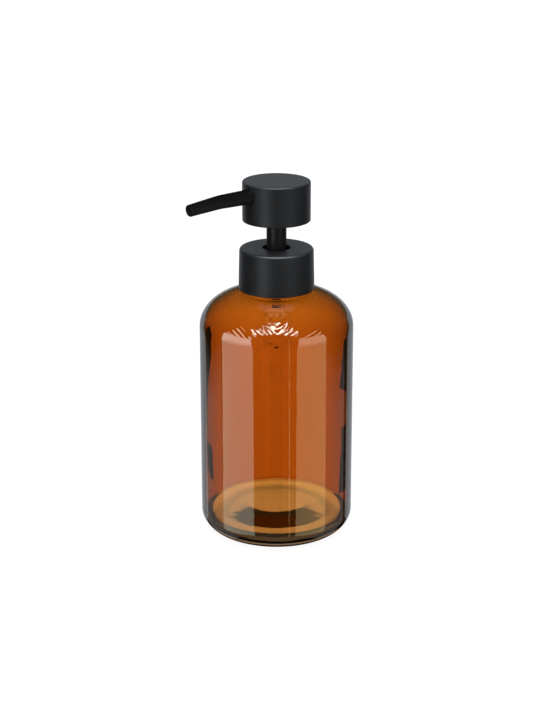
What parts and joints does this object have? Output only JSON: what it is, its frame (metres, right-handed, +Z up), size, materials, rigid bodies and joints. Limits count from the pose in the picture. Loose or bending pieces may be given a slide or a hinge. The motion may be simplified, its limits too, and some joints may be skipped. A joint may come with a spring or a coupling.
{
  "type": "soap pump dispenser",
  "caption": "Round-shouldered amber-coated glass bottle with a thick base and a black press pump with a slim drooping spout.",
  "frame": {"origin": "on the bottle's axis, in the plane it rests on", "axes": "+Z up the bottle's axis; the spout points along -Y; +X is to the spout's left seen from behind the head"},
  "size_m": [0.073, 0.0865, 0.1721],
  "materials": {
    "amber_glass": "clear glass, amber lacquer inside",
    "black_metal": "satin black paint",
    "black_plastic": "fine matte",
    "clear_plastic": "clear, moulded",
    "soft_seal": "soft, natural"
  },
  "bodies": {
    "bottle": {"bottle": "amber_glass"},
    "pump_body": {"neck_gasket": "soft_seal", "pump_housing": "clear_plastic", "guide_ring": "black_plastic", "stem_wiper": "soft_seal", "ball_retainer": "clear_plastic", "return_spring": "clear_plastic", "dip_tube": "clear_plastic"},
    "closure": {"collar_shell": "black_metal", "screw_cap": "black_plastic"},
    "ball": {"inlet_ball": "clear_plastic"},
    "plunger": {"piston_rod": "clear_plastic"},
    "piston": {"piston": "clear_plastic"},
    "head": {"stem_tube": "clear_plastic", "stem_sleeve": "black_plastic", "head_base_plate": "black_plastic", "head_core": "black_plastic", "head_shell": "black_metal", "spout_tube": "black_metal", "spout_liner": "black_plastic"}
  },
  "joints": [
    {"name": "pump_rise", "type": "slide", "parent": "bottle", "child": "pump_body", "axis": [0, 0, 1], "range_m": [0, 0.00635]},
    {"name": "closure_unscrew", "type": "hinge", "parent": "pump_body", "child": "closure", "pos_m": [0, 0, 0.13], "axis": [0, 0, 1], "range_deg": [0, 540]},
    {"name": "pump_press", "type": "slide", "parent": "pump_body", "child": "plunger", "axis": [0, 0, 1], "range_m": [-0.0125, 0], "stiffness_N_per_m": 800, "springref_m": 0.006, "deforming": ["return_spring"]},
    {"name": "spout_swivel", "type": "hinge", "parent": "plunger", "child": "head", "pos_m": [0, 0, 0.14], "axis": [0, 0, 1], "continuous": true},
    {"name": "piston_slip", "type": "slide", "parent": "plunger", "child": "piston", "axis": [0, 0, 1], "range_m": [0, 0.0008]},
    {"name": "inlet_ball_lift", "type": "slide", "parent": "pump_body", "child": "ball", "axis": [0, 0, 1], "range_m": [0, 0.0012]}
  ],
  "couplings": [
    {"joint": "pump_rise", "follows": "closure_unscrew", "m_per_rad": 0.0006737}
  ]
}
